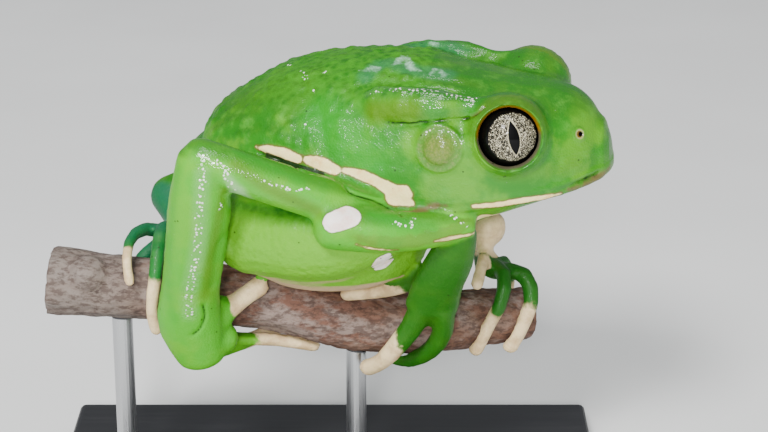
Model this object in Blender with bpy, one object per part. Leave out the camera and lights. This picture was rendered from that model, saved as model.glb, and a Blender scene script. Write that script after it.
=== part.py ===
"""Waxy monkey tree frog gripping a short length of branch, on a plain display stand.

Life size. Everything is laid out in millimetres in the pose frame (X to the frog's
front, Y away from its right side, Z up) and moved to the stand's foot at the end.
"""
import math

import bmesh
import bpy
from mathutils import Matrix, Quaternion, Vector

MM = 0.001
GAP = 0.3
CUT_SIZE = 60.0
WELD = 0.01

# Head: its own axes, set by yaw, pitch and roll about the point between the eyes
HEAD_ORIGIN = Vector((21.6, -7.4, 11.2))
HEAD_YAW = math.radians(-13.0)
HEAD_PITCH = math.radians(4.5)
HEAD_ROLL = math.radians(6.0)
EYE_RADIUS = 4.7
EYE_AHEAD = {-1: -1.1, 1: -0.4}
EYE_ASIDE = 9.2
EYE_ABOVE = 8.6
EYE_LID_RADIUS = 6.2
EYE_OPENING = 4.4
EYE_LID_PLANE = 2.4
EYE_TURN_FORWARD = math.radians(14.0)
EYE_TURN_UP = math.radians(12.0)
NOSTRIL_RADIUS = 0.45
NOSTRIL_RIM = 0.65
TYMPANUM_RADIUS = 3.5
LIP_RADIUS = 0.6
MOUTH_GAP = 0.35
MOUTH_BACK = -1.2
MOUTH_FRONT = 0.2
MOUTH_REACH = 12.0
MOUTH_DEPTH = 1.0
JAW_TUCK = 0.96

# Stand and perch
BASE_LENGTH = 88.0
BASE_DEPTH = 60.0
BASE_THICKNESS = 4.0
BASE_TOP = -46.0
BASE_MIDDLE = (-9.0, 1.0)
BASE_BEVEL = 1.0
ROD_RADIUS = 1.6
ROD_SOCKET = 2.0
ROD_TOP = -15.0
ROD_FEET = (("rear", (-41.0, 0.2)), ("front", (-4.4, 0.9)))

MATERIALS = {
    "skin_green": ((0.095, 0.33, 0.035), 0.32, 0.0),
    "eye": ((0.55, 0.52, 0.40), 0.08, 0.0),
    "bark": ((0.16, 0.10, 0.085), 0.85, 0.0),
    "stand_black": ((0.02, 0.02, 0.022), 0.45, 0.0),
    "steel": ((0.55, 0.55, 0.56), 0.3, 1.0),
}

LOOK = {
    "perch": "bark",
    "stand_base": "stand_black",
    "stand_rod_front": "steel",
    "stand_rod_rear": "steel",
    "eye_right": "eye",
    "eye_left": "eye",
}


def clear_scene():
    for obj in list(bpy.data.objects):
        bpy.data.objects.remove(obj, do_unlink=True)


def material(name):
    found = bpy.data.materials.get(name)
    if found:
        return found
    color, roughness, metallic = MATERIALS[name]
    made = bpy.data.materials.new(name)
    made.use_nodes = True
    shader = made.node_tree.nodes["Principled BSDF"]
    shader.inputs["Base Color"].default_value = (*color, 1.0)
    shader.inputs["Roughness"].default_value = roughness
    shader.inputs["Metallic"].default_value = metallic
    made.diffuse_color = (*color, 1.0)
    return made


def add_object(name, bm):
    mesh = bpy.data.meshes.new(name)
    bmesh.ops.recalc_face_normals(bm, faces=bm.faces)
    bm.to_mesh(mesh)
    bm.free()
    obj = bpy.data.objects.new(name, mesh)
    bpy.context.scene.collection.objects.link(obj)
    return obj


def smooth_value(values, t):
    """Catmull-Rom value at t (0..1) through values that may be numbers or vectors."""
    count = len(values) - 1
    place = min(max(t, 0.0), 1.0) * count
    i = min(int(place), count - 1)
    f = place - i
    b, c = values[i], values[i + 1]
    a = values[i - 1] if i > 0 else b * 2 - c
    d = values[i + 2] if i + 2 <= count else c * 2 - b
    return (b * 2 + (c - a) * f + (a * 2 - b * 5 + c * 4 - d) * f * f
            + (b * 3 - c * 3 + d - a) * f * f * f) * 0.5


def section_point(angle, wide, top, bottom, power):
    """One point of a body section: angle 0 is the animal's left, 90 degrees is up."""
    c, s = math.cos(angle), math.sin(angle)
    tall = top if s >= 0 else bottom
    reach = (abs(c) ** power + abs(s) ** power) ** (-1.0 / power)
    return wide * c * reach, tall * s * reach


def loft(name, stations, sides, steps, up=Vector((0, 0, 1)), power=2.0, ends=(1.0, 1.0), caps=3):
    """Closed skin through stations (centre, half width, top, bottom), with rounded ends.

    ends gives how far each rounded end reaches, as a part of its mean radius; 0 is flat.
    """
    centres = [Vector(s[0]) for s in stations]
    wides = [s[1] for s in stations]
    tops = [s[2] for s in stations]
    bottoms = [s[3] if len(s) > 3 else s[2] for s in stations]
    rings = []

    def frame_at(t):
        step = 0.004
        ahead = smooth_value(centres, min(t + step, 1.0)) - smooth_value(centres, max(t - step, 0.0))
        ahead.normalize()
        side = up.cross(ahead).normalized()
        return ahead, side, ahead.cross(side).normalized()

    def add_ring(centre, side, above, wide, top, bottom):
        ring = []
        for k in range(sides):
            x, y = section_point(2 * math.pi * k / sides, wide, top, bottom, power)
            ring.append(centre + side * x + above * y)
        rings.append(ring)

    def add_cap(t, sign, reach):
        ahead, side, above = frame_at(t)
        centre = smooth_value(centres, t)
        wide, top, bottom = (smooth_value(v, t) for v in (wides, tops, bottoms))
        depth = reach * (2 * wide + top + bottom) / 4
        order = range(caps, 0, -1) if sign < 0 else range(1, caps + 1)
        for k in order:
            turn = math.radians(86.0) * k / caps
            shrink = math.cos(turn)
            add_ring(centre + ahead * (sign * depth * math.sin(turn)), side, above,
                     wide * shrink, top * shrink, bottom * shrink)

    if ends[0] > 0:
        add_cap(0.0, -1, ends[0])
    for k in range(steps + 1):
        t = k / steps
        ahead, side, above = frame_at(t)
        add_ring(smooth_value(centres, t), side, above, smooth_value(wides, t),
                 smooth_value(tops, t), smooth_value(bottoms, t))
    if ends[1] > 0:
        add_cap(1.0, 1, ends[1])

    bm = bmesh.new()
    rows = [[bm.verts.new(p * MM) for p in ring] for ring in rings]
    for low, high in zip(rows, rows[1:]):
        for k in range(sides):
            n = (k + 1) % sides
            bm.faces.new((low[k], low[n], high[n], high[k]))
    bm.faces.new(list(reversed(rows[0])))
    bm.faces.new(rows[-1])
    bmesh.ops.triangulate(bm, faces=[f for f in bm.faces if len(f.verts) > 4])
    return add_object(name, bm)


def ball(name, centre, radii, turn=None, segments=20, rings=12):
    bm = bmesh.new()
    bmesh.ops.create_uvsphere(bm, u_segments=segments, v_segments=rings, radius=1.0)
    size = Matrix.Diagonal((radii[0] * MM, radii[1] * MM, radii[2] * MM, 1.0))
    place = Matrix.Translation(Vector(centre) * MM)
    bm.transform(place @ (turn.to_4x4() if turn else Matrix.Identity(4)) @ size)
    return add_object(name, bm)


def rod(name, start, end, radius, sides=20, tip_radius=None):
    start, end = Vector(start), Vector(end)
    bm = bmesh.new()
    bmesh.ops.create_cone(bm, cap_ends=True, segments=sides, radius1=radius * MM,
                          radius2=(radius if tip_radius is None else tip_radius) * MM,
                          depth=(end - start).length * MM)
    turn = Vector((0, 0, 1)).rotation_difference((end - start).normalized())
    bm.transform(Matrix.Translation((start + end) * 0.5 * MM) @ turn.to_matrix().to_4x4())
    return add_object(name, bm)


def slab(name, centre, normal, thickness, size=CUT_SIZE):
    """Flat block across a limb or the neck; its middle plane is where the body parts."""
    bm = bmesh.new()
    bmesh.ops.create_cube(bm, size=1.0)
    turn = Vector((0, 0, 1)).rotation_difference(Vector(normal).normalized()).to_matrix().to_4x4()
    bm.transform(Matrix.Translation(Vector(centre) * MM) @ turn
                 @ Matrix.Diagonal((size * MM, size * MM, thickness * MM, 1.0)))
    return add_object(name, bm)


def is_closed(bm):
    return all(e.is_manifold for e in bm.edges) and all(v.is_manifold for v in bm.verts)


def object_is_closed(obj):
    bm = bmesh.new()
    bm.from_mesh(obj.data)
    closed = is_closed(bm)
    bm.free()
    return closed


def apply_boolean(obj, others, operation):
    group = bpy.data.collections.new(obj.name + "_tools")
    bpy.context.scene.collection.children.link(group)
    for other in others:
        group.objects.link(other)
    step = obj.modifiers.new("join", "BOOLEAN")
    step.operation = operation
    closed = all(object_is_closed(piece) for piece in [obj] + others)
    step.solver = "MANIFOLD" if closed else "EXACT"
    step.operand_type = "COLLECTION"
    step.collection = group
    graph = bpy.context.evaluated_depsgraph_get()
    result = bpy.data.meshes.new_from_object(obj.evaluated_get(graph))
    obj.modifiers.remove(step)
    obj.data = result
    bpy.data.collections.remove(group)


def remove(objects):
    for obj in objects:
        bpy.data.objects.remove(obj, do_unlink=True)


def union(name, pieces):
    first = pieces[0]
    if len(pieces) > 1:
        apply_boolean(first, pieces[1:], "UNION")
        remove(pieces[1:])
    first.name = name
    keep_largest(first)
    return first


def cut(obj, tools, keep_tools=False):
    apply_boolean(obj, tools, "DIFFERENCE")
    if not keep_tools:
        remove(tools)
    keep_largest(obj)


def tidy(bm):
    """Weld and dissolve the slivers that a Boolean leaves."""
    bmesh.ops.remove_doubles(bm, verts=bm.verts, dist=WELD * MM)
    bmesh.ops.dissolve_degenerate(bm, dist=WELD * MM, edges=bm.edges)
    bmesh.ops.triangulate(bm, faces=bm.faces)


def keep_largest(obj):
    """Drop every closed surface but the largest, and tidy it where it stays closed."""
    bm = bmesh.new()
    bm.from_mesh(obj.data)
    seen, parts = set(), []
    bm.faces.index_update()
    for face in bm.faces:
        if face.index in seen:
            continue
        stack, part = [face], []
        seen.add(face.index)
        while stack:
            here = stack.pop()
            part.append(here)
            for edge in here.edges:
                for near in edge.link_faces:
                    if near.index not in seen:
                        seen.add(near.index)
                        stack.append(near)
        parts.append(part)
    parts.sort(key=lambda p: sum(f.calc_area() for f in p), reverse=True)
    loose = [f for part in parts[1:] for f in part]
    bmesh.ops.delete(bm, geom=loose, context="FACES")
    bmesh.ops.triangulate(bm, faces=bm.faces)
    bm.to_mesh(obj.data)
    tidy(bm)
    if is_closed(bm):
        bm.to_mesh(obj.data)
    bm.free()


def grown(obj, amount):
    """A copy of a node swollen by amount, used to cut its neighbours clear of it."""
    bm = bmesh.new()
    bm.from_mesh(obj.data)
    bm.normal_update()
    moves = []
    for vert in bm.verts:
        push = Vector()
        for face in vert.link_faces:
            push += face.normal * face.calc_area()
        if push.length > 0:
            push.normalize()
        spread = min([max(push.dot(f.normal), 0.5) for f in vert.link_faces] or [1.0])
        moves.append((vert, push * (amount * MM / spread)))
    for vert, move in moves:
        vert.co += move
    return add_object(obj.name + "_swollen", bm)


# Body axes

def head_axes():
    turn = (Quaternion((0, 0, 1), HEAD_YAW) @ Quaternion((0, 1, 0), -HEAD_PITCH)
            @ Quaternion((1, 0, 0), HEAD_ROLL))
    return turn.to_matrix()


HEAD_AXES = head_axes()


def head_at(ahead, left, above):
    return HEAD_ORIGIN + HEAD_AXES @ Vector((ahead, left, above))


BODY_UP = Vector((0.0, -0.09, 1.0)).normalized()

# Body stations behind the head: centre, half width, rise above it and depth below it
TRUNK = [
    ((-22.6, 6.0, 4.0), 11.0, 9.6, 12.4),
    ((-18.6, 4.8, 6.0), 14.4, 13.3, 15.2),
    ((-12.0, 2.6, 7.4), 16.5, 16.4, 16.8),
    ((-4.0, 0.2, 8.8), 16.6, 17.2, 17.8),
    ((3.0, -2.2, 10.2), 15.4, 16.8, 17.4),
]

# Head stations along its own axis: ahead, half width, height of the crown, depth of the jaw
HEAD = [
    (-12.5, 13.9, 16.4, 11.2),
    (-7.5, 13.5, 15.2, 7.4),
    (-2.5, 12.8, 14.0, 5.4),
    (2.0, 11.4, 13.2, 3.9),
    (5.6, 9.5, 12.3, 2.8),
    (8.0, 7.5, 11.1, 2.1),
    (9.7, 5.7, 9.5, 1.6),
    (10.7, 4.2, 7.8, 1.2),
]


def head_half_width(ahead):
    for (a0, w0, *_), (a1, w1, *_) in zip(HEAD, HEAD[1:]):
        if a0 <= ahead <= a1:
            return w0 + (w1 - w0) * (ahead - a0) / (a1 - a0)
    return HEAD[0][1] if ahead < HEAD[0][0] else HEAD[-1][1]


def mouth_path(outset, above):
    """Points round the jaw from the right corner of the mouth to the left."""
    side = []
    for ahead in (-12.0, -8.0, -3.5, 0.8, 4.2, 7.2, 9.6):
        side.append((ahead, head_half_width(ahead) * JAW_TUCK + outset))
    side.append((11.3, 2.7))

    def at(ahead, left):
        share = (ahead + MOUTH_REACH) / (2 * MOUTH_REACH)
        return head_at(ahead, left, above + MOUTH_BACK + (MOUTH_FRONT - MOUTH_BACK) * share)

    right = [at(a, -w) for a, w in side]
    return right + [at(11.9 + outset, 0.0)] + [at(a, w) for a, w in reversed(side)]


def body_loft(name):
    """Trunk and skull as one surface; the neck's cut makes the torso and the head of it."""
    stations = TRUNK + [(head_at(a, 0, 0), w, t, b) for a, w, t, b in HEAD]
    return loft(name, stations, 28, 30, up=BODY_UP, power=2.25, ends=(0.75, 0.44))


def make_head():
    pieces = [body_loft("skull")]
    cutters = []
    eyes = []
    for tag, side in (("right", -1), ("left", 1)):
        centre = head_at(EYE_AHEAD[side], side * EYE_ASIDE, EYE_ABOVE)
        look = HEAD_AXES @ Vector((math.sin(EYE_TURN_FORWARD),
                                   side * math.cos(EYE_TURN_FORWARD), math.tan(EYE_TURN_UP)))
        look.normalize()
        turn = Vector((0, 0, 1)).rotation_difference(look).to_matrix()
        pieces.append(ball("lid", centre, (EYE_LID_RADIUS,) * 3, turn, 18, 10))
        cutters.append(ball("socket", centre, (EYE_RADIUS + GAP,) * 3, turn, 20, 10))
        cutters.append(rod("opening", centre + look * EYE_LID_PLANE, centre + look * 9.0,
                           EYE_OPENING, 20, EYE_OPENING + 2.0))
        eyes.append(ball("eye_" + tag, centre, (EYE_RADIUS,) * 3, turn, 20, 12))
        # nostril
        nose = head_at(9.6, side * 5.8, 7.2)
        out = HEAD_AXES @ Vector((0.55, side * 0.8, 0.25)).normalized()
        pieces.append(ball("nose", nose - out * 0.5, (NOSTRIL_RIM,) * 3, None, 12, 8))
        cutters.append(rod("nostril", nose - out * 0.9, nose + out * 2.0, NOSTRIL_RADIUS, 10))
        # tympanum: a low disc with a rim
        drum = head_at(-10.4, side * (head_half_width(-10.4) - 0.85), 8.0)
        outward = HEAD_AXES @ Vector((-0.08, side, 0.3)).normalized()
        disc = Vector((0, 0, 1)).rotation_difference(outward).to_matrix()
        pieces.append(ball("drum", drum, (TYMPANUM_RADIUS, TYMPANUM_RADIUS, 1.1), disc, 16, 6))
    for above in (LIP_RADIUS + MOUTH_GAP / 2, -LIP_RADIUS - MOUTH_GAP / 2):
        path = mouth_path(-LIP_RADIUS * 0.72, above)
        pieces.append(loft("lip", [(p, LIP_RADIUS, LIP_RADIUS) for p in path], 6, 24,
                           up=HEAD_AXES @ Vector((0, 0, 1))))
    line = mouth_path(0.0, 0.0)
    cutters.append(loft("mouth", [(p, MOUTH_DEPTH, MOUTH_GAP / 2) for p in line], 4, 24,
                        up=HEAD_AXES @ Vector((0, 0, 1))))
    for side in (-1, 1):
        pieces.append(gland(side))
    head = union("head", pieces)
    cut(head, cutters)
    return head, eyes


# Parotoid lobe in the head's axes: ahead, aside, above, half width, half height
GLAND = [
    (-24.0, 7.2, 11.6, 1.5, 1.7),
    (-20.5, 8.4, 12.7, 2.4, 2.9),
    (-15.5, 9.4, 13.0, 2.7, 3.1),
    (-10.5, 9.8, 13.0, 2.4, 2.7),
    (-6.4, 9.4, 13.3, 1.2, 1.3),
    (-3.6, 9.0, 13.6, 0.9, 1.0),
]


def gland(side):
    """Parotoid lobe from behind the eye back over the shoulder."""
    stations = [(head_at(ahead, side * aside, above), wide, tall)
                for ahead, aside, above, wide, tall in GLAND]
    return loft("gland", stations, 10, 8, ends=(0.9, 0.9))


BELLY_CENTRE = (-8.0, -6.5, -1.5)
BELLY_RADII = (15.0, 9.0, 7.7)
NECK_CENTRE = (8.5, -3.7, 14.0)
NECK_NORMAL = (0.96, -0.24, 0.06)


def half_block(name, centre, normal, keep_front):
    """A big block that takes away all that lies behind, or ahead of, a plane."""
    n = Vector(normal).normalized()
    shift = CUT_SIZE / 2 - GAP / 2
    middle = Vector(centre) + n * (-shift if keep_front else shift)
    return slab(name, middle, n, CUT_SIZE, CUT_SIZE * 2)


# Limbs: each node is one or more lofts through its joints
R_ELBOW = (-7.0, -19.6, 6.0)
R_WRIST = (12.0, -16.4, 4.8)
L_SHOULDER = (8.0, 7.0, 6.0)
L_ELBOW = (5.5, 15.5, 0.0)
L_WRIST = (16.6, 6.6, -4.6)
L_HIP = (-16.0, 9.0, 4.0)
L_KNEE = (-3.0, 24.5, 3.0)
L_HEEL = (-35.0, 17.0, -2.6)
L_BALL = (-32.8, 7.6, -6.2)


def digit(name, points, radius, tip_radius, disc=1.25):
    """Finger or toe: a tapered tube with a slightly wider pad at its tip."""
    count = len(points)
    stations = []
    for k, point in enumerate(points):
        r = radius + (tip_radius - radius) * k / (count - 1)
        if k == count - 1:
            r = tip_radius * disc
        stations.append((point, r, r * 0.9))
    # the section is set square to the axis along which the digit runs least
    runs = [sum(abs(points[k + 1][axis] - points[k][axis]) for k in range(count - 1))
            for axis in range(3)]
    up = Vector((0, 0, 0))
    up[runs.index(min(runs))] = 1.0
    return loft(name, stations, 8, count + 2, up=up, ends=(0.8, 0.8), caps=2)


def make_perch():
    path = [((-52.0, 0.2, -10.6), 5.6, 5.5), ((-44.0, 0.0, -11.4), 5.2, 5.1),
            ((-34.0, 0.0, -12.2), 4.9, 4.9), ((-24.0, 0.0, -13.1), 4.9, 5.0),
            ((-15.0, 0.2, -14.3), 5.0, 5.1), ((-6.0, 0.6, -17.0), 5.2, 5.2),
            ((3.0, 1.4, -18.4), 5.0, 5.1), ((12.0, 3.0, -18.5), 4.8, 4.7),
            ((23.0, 6.6, -18.8), 4.3, 4.3)]
    knot = ball("knot", (-45.5, -2.5, -8.6), (3.4, 3.6, 3.0), None, 14, 8)
    return union("perch", [loft("perch", path, 16, 22, ends=(0.0, 0.0)), knot])


def make_stand(perch):
    bm = bmesh.new()
    bmesh.ops.create_cube(bm, size=1.0)
    bm.transform(Matrix.Translation(Vector((BASE_MIDDLE[0], BASE_MIDDLE[1],
                                            BASE_TOP - BASE_THICKNESS / 2)) * MM)
                 @ Matrix.Diagonal((BASE_LENGTH * MM, BASE_DEPTH * MM, BASE_THICKNESS * MM, 1.0)))
    upper = [e for e in bm.edges if all(v.co.z > (BASE_TOP - 0.1) * MM for v in e.verts)]
    corner = [e for e in bm.edges if abs(e.verts[0].co.z - e.verts[1].co.z) > 0.5 * MM]
    bmesh.ops.bevel(bm, geom=upper + corner, offset=BASE_BEVEL * MM, segments=3, profile=0.5,
                    affect="EDGES")
    base = add_object("stand_base", bm)
    rods = []
    for tag, foot in ROD_FEET:
        pole = rod("stand_rod_" + tag, (foot[0], foot[1], BASE_TOP - ROD_SOCKET),
                   (foot[0], foot[1], ROD_TOP), ROD_RADIUS, 24)
        hole = rod("hole", (foot[0], foot[1], BASE_TOP - ROD_SOCKET - GAP),
                   (foot[0], foot[1], BASE_TOP + 5.0), ROD_RADIUS + GAP, 24)
        cut(base, [hole])
        rods.append(pole)
    swollen = grown(perch, GAP)
    for pole in rods:
        cut(pole, [swollen], keep_tools=True)
    remove([swollen])
    return [base] + rods


def right_arm():
    """The near arm: upper arm, forearm, and the hand with its fingers over the branch."""
    upper = loft("upper_arm_right", [((3.6, -13.2, 4.8), 3.6, 3.8), ((-2.0, -16.8, 5.0), 3.6, 4.0),
                                     (R_ELBOW, 3.3, 3.5)], 14, 6, ends=(0.8, 0.6))
    fore = loft("forearm_right", [((-7.6, -20.4, 5.8), 3.2, 3.4), ((-1.0, -20.2, 5.0), 3.0, 3.2),
                                  ((6.0, -18.6, 4.6), 2.6, 2.9), (R_WRIST, 2.4, 2.4)],
                14, 7, ends=(0.8, 0.5))
    hand = union("hand_right", [
        loft("palm", [((11.2, -16.2, 3.4), 2.6, 2.4), ((9.8, -14.8, -1.4), 3.6, 2.2),
                      ((8.0, -12.2, -6.6), 3.9, 2.1), ((7.2, -10.0, -11.0), 4.2, 1.9)],
             12, 7, up=Vector((0, 1, 0.4)), ends=(0.6, 0.5)),
        digit("finger", [(7.2, -11.4, -4.4), (4.2, -8.0, -7.9), (0.0, -5.0, -10.4),
                         (-5.8, -3.2, -11.6)], 1.6, 1.05),
        digit("finger", [(5.8, -10.2, -10.6), (4.4, -8.8, -14.5), (1.6, -7.4, -19.0),
                         (-0.6, -5.4, -22.2), (-2.6, -2.8, -24.2)], 2.1, 1.2),
        digit("finger", [(8.8, -10.0, -11.0), (9.1, -8.4, -14.8), (8.2, -6.8, -18.2),
                         (6.2, -4.6, -21.2), (3.4, -1.6, -23.5), (0.6, 1.8, -24.0)], 2.2, 1.0),
        digit("finger", [(10.4, -9.6, -8.6), (10.6, -5.0, -11.4), (10.6, 1.2, -12.6),
                         (10.4, 6.4, -14.4), (9.8, 8.6, -18.4)], 1.5, 1.1),
    ])
    return upper, fore, hand


def left_arm():
    """The far arm, reaching round in front of the chest."""
    upper = loft("upper_arm_left", [(L_SHOULDER, 3.8, 4.0), ((6.5, 12.0, 2.6), 3.4, 3.7),
                                    (L_ELBOW, 3.1, 3.3)], 14, 6, ends=(0.8, 0.6))
    fore = loft("forearm_left", [((5.6, 15.4, -0.6), 3.0, 3.1), ((10.5, 11.6, -2.6), 2.9, 3.0),
                                 (L_WRIST, 3.0, 3.1)], 14, 6, ends=(0.7, 0.8))
    hand = union("hand_left", [
        loft("palm", [((16.2, 6.0, -5.4), 1.9, 1.9), ((15.6, 5.8, -8.0), 1.6, 1.6),
                      ((16.6, 5.6, -10.6), 2.5, 1.7)],
             12, 6, up=Vector((0, 1, 0.2)), ends=(0.6, 0.5)),
        digit("finger", [(15.9, 4.6, -7.8), (15.2, 1.6, -9.0), (14.4, -1.8, -10.6)], 1.2, 0.95),
        digit("finger", [(16.6, 4.6, -10.6), (18.6, 2.0, -9.8), (18.4, -1.2, -13.2),
                         (16.4, -1.2, -17.6), (14.4, -0.6, -22.0)], 1.5, 1.15),
        digit("finger", [(17.2, 5.4, -11.2), (21.6, 3.6, -10.8), (23.2, 1.6, -13.8),
                         (22.0, 0.8, -18.0), (19.9, 1.4, -22.4)], 1.5, 1.15),
        digit("finger", [(17.2, 6.6, -11.4), (19.2, 10.2, -11.6), (20.2, 12.3, -15.0),
                         (19.8, 12.5, -19.2)], 1.3, 1.1),
    ])
    return upper, fore, hand


def right_leg():
    """The near hind leg, folded: thigh, shank, and the long foot standing up from the branch."""
    thigh = loft("thigh_right", [((-20.2, -7.6, 0.6), 6.4, 6.8), ((-9.5, -13.0, 1.4), 6.0, 6.6),
                                 ((-1.6, -14.6, 3.0), 4.5, 5.0), ((2.6, -14.4, 3.9), 3.2, 3.6)],
                 16, 8, ends=(0.8, 0.8))
    shank = loft("shank_right", [((1.0, -15.4, 5.6), 2.6, 3.0), ((-6.0, -17.8, 8.2), 3.2, 3.4),
                                 ((-16.0, -19.0, 12.0), 3.2, 3.2), ((-24.0, -19.2, 14.8), 3.2, 3.2),
                                 ((-26.6, -18.8, 15.4), 3.2, 3.3)],
                 14, 9, ends=(0.8, 0.9))
    foot = union("foot_right", [
        loft("tarsus", [((-26.6, -18.8, 15.0), 3.3, 3.3), ((-26.6, -18.0, 9.0), 4.6, 3.7),
                        ((-27.8, -15.4, 0.0), 4.5, 3.6), ((-28.9, -12.8, -7.0), 4.4, 3.4),
                        ((-29.3, -10.8, -13.2), 5.0, 3.3), ((-27.9, -9.2, -19.2), 3.9, 2.9)],
             16, 12, up=Vector((0, 1, 0.3)), ends=(0.9, 0.6)),
        ball("sole", (-24.7, -8.2, -16.8), (2.5, 2.3, 2.6), None, 12, 8),
        ball("web", (-24.9, -9.0, -12.6), (2.1, 1.9, 3.2), None, 12, 8),
        digit("toe", [(-25.8, -9.0, -13.4), (-23.4, -8.2, -11.8), (-21.2, -7.4, -10.3),
                      (-18.9, -6.6, -8.9)], 2.0, 1.35),
        digit("toe", [(-26.2, -7.0, -17.0), (-22.6, -3.8, -18.9), (-17.2, -0.6, -20.4),
                      (-11.0, 0.6, -21.7)], 1.35, 1.1),
        digit("toe", [(-27.0, -7.6, -19.6), (-24.0, -3.0, -20.4), (-20.0, 0.8, -20.6),
                      (-16.4, 4.0, -19.8)], 1.7, 1.2),
        digit("toe", [(-27.6, -7.6, -19.4), (-27.2, -2.6, -20.2), (-25.6, 2.2, -19.6),
                      (-24.2, 5.6, -16.8)], 1.6, 1.2),
        digit("toe", [(-28.6, -8.0, -18.6), (-30.6, -3.2, -19.2), (-31.2, 1.6, -18.6),
                      (-31.4, 5.4, -15.8)], 1.5, 1.1),
    ])
    return thigh, shank, foot


def left_leg():
    """The far hind leg, its foot coming over the branch behind the near one."""
    thigh = loft("thigh_left", [(L_HIP, 6.0, 6.4), ((-9.0, 17.0, 3.2), 5.6, 6.2),
                                (L_KNEE, 3.6, 4.0)], 16, 8, ends=(0.8, 0.8))
    shank = loft("shank_left", [((-3.6, 24.6, 2.6), 3.0, 3.4), ((-13.0, 25.0, 1.8), 3.8, 4.0),
                                ((-24.0, 22.2, -0.2), 3.4, 3.6), (L_HEEL, 3.1, 3.1)],
                 14, 8, ends=(0.8, 0.9))
    foot = union("foot_left", [
        loft("tarsus", [(L_HEEL, 2.9, 2.9), ((-33.0, 14.0, -4.4), 2.9, 2.7),
                        ((-32.0, 10.8, -5.6), 2.8, 2.3), (L_BALL, 3.0, 1.9)],
             14, 8, ends=(0.9, 0.5)),
        digit("toe", [(-34.2, 6.4, -5.4), (-36.8, 3.0, -3.2), (-38.9, -1.0, -3.2),
                      (-39.2, -5.2, -5.2), (-38.7, -6.8, -8.2)], 1.3, 0.75),
        digit("toe", [(-33.4, 6.4, -5.4), (-34.0, 2.6, -3.0), (-34.4, -1.6, -2.8),
                      (-34.6, -5.6, -5.6), (-35.2, -7.2, -10.2), (-35.5, -7.0, -13.2),
                      (-35.0, -5.9, -16.3)], 1.5, 1.0),
        digit("toe", [(-34.8, 8.0, -7.0), (-38.0, 7.4, -9.4), (-40.2, 6.4, -12.8)], 1.3, 1.1),
        digit("toe", [(-33.4, 8.2, -7.8), (-35.8, 7.4, -12.0), (-36.8, 5.8, -16.2)], 1.3, 1.1),
        digit("toe", [(-32.0, 8.2, -7.8), (-32.8, 7.6, -11.6), (-33.6, 6.6, -14.6)], 1.3, 1.1),
    ])
    return thigh, shank, foot


def part_limbs(torso, head, perch, arm_r, arm_l, leg_r, leg_l):
    """Cut each limb clear of the body and the perch, then of the limbs it touches."""
    limbs = list(arm_r + arm_l + leg_r + leg_l)
    for carrier in (torso, head, perch):
        swollen = grown(carrier, GAP)
        for limb in limbs:
            cut(limb, [swollen], keep_tools=True)
        remove([swollen])
    upper_r, fore_r, hand_r = arm_r
    upper_l, fore_l, hand_l = arm_l
    thigh_r, shank_r, foot_r = leg_r
    thigh_l, shank_l, foot_l = leg_l
    pairs = [(thigh_r, upper_r), (shank_r, thigh_r), (upper_r, shank_r), (fore_r, upper_r),
             (fore_r, shank_r), (fore_r, thigh_r), (hand_r, fore_r), (foot_r, shank_r),
             (foot_r, thigh_r), (foot_r, foot_l), (shank_l, thigh_l), (foot_l, shank_l),
             (fore_l, upper_l), (hand_l, fore_l), (hand_l, hand_r)]
    for winner, loser in pairs:
        cut(loser, [grown(winner, GAP)])
    return limbs


def main():
    clear_scene()
    belly = ball("belly", BELLY_CENTRE, BELLY_RADII, None, 18, 10)
    torso = union("torso", [body_loft("torso"), belly, gland(-1), gland(1)])
    cut(torso, [half_block("front", NECK_CENTRE, NECK_NORMAL, False)])
    head, eyes = make_head()
    cut(head, [half_block("rear", NECK_CENTRE, NECK_NORMAL, True)])
    perch = make_perch()
    limbs = part_limbs(torso, head, perch, right_arm(), left_arm(), right_leg(), left_leg())
    stand = make_stand(perch)

    low = Vector((BASE_MIDDLE[0], BASE_MIDDLE[1], BASE_TOP - BASE_THICKNESS)) * MM
    shift = Matrix.Translation(-low)
    root = bpy.data.objects.new("waxy_monkey_frog", None)
    bpy.context.scene.collection.objects.link(root)
    for obj in [torso, head, perch] + eyes + limbs + stand:
        obj.data.transform(shift)
        obj.data.materials.clear()
        obj.data.materials.append(material(LOOK.get(obj.name, "skin_green")))
        obj.parent = root


main()
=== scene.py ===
import math

import bmesh
import bpy
import numpy as np
from mathutils import Matrix, Quaternion, Vector, noise
from mathutils.bvhtree import BVHTree


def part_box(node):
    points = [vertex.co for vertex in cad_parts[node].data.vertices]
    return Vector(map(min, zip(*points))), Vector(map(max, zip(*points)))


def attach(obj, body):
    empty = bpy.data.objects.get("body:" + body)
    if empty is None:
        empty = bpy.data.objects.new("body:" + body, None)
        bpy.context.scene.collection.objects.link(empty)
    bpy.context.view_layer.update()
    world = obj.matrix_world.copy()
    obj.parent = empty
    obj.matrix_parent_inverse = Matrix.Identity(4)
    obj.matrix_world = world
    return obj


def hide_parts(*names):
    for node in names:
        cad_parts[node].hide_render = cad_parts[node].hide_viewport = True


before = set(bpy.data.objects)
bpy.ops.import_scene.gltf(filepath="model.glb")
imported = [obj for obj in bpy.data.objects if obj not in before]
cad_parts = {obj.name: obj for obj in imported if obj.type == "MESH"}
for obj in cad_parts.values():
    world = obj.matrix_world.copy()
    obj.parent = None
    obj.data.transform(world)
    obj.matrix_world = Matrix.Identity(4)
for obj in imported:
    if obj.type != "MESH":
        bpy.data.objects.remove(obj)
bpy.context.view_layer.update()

MM = 0.001
# The pose frame of part.py, whose origin is the middle of the photograph, in the row frame
POSE_ORIGIN = Vector((9.0, -1.0, 50.0)) * MM

# The photograph's view
PHOTO_WIDTH, PHOTO_HEIGHT = 768, 432
LENS_MM = 100.0
SENSOR_MM = 36.0
PIXELS_PER_MM = 6.5
CAMERA_ELEVATION = math.radians(20.0)
CAMERA_DISTANCE = PHOTO_WIDTH * LENS_MM / SENSOR_MM / PIXELS_PER_MM * MM

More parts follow.
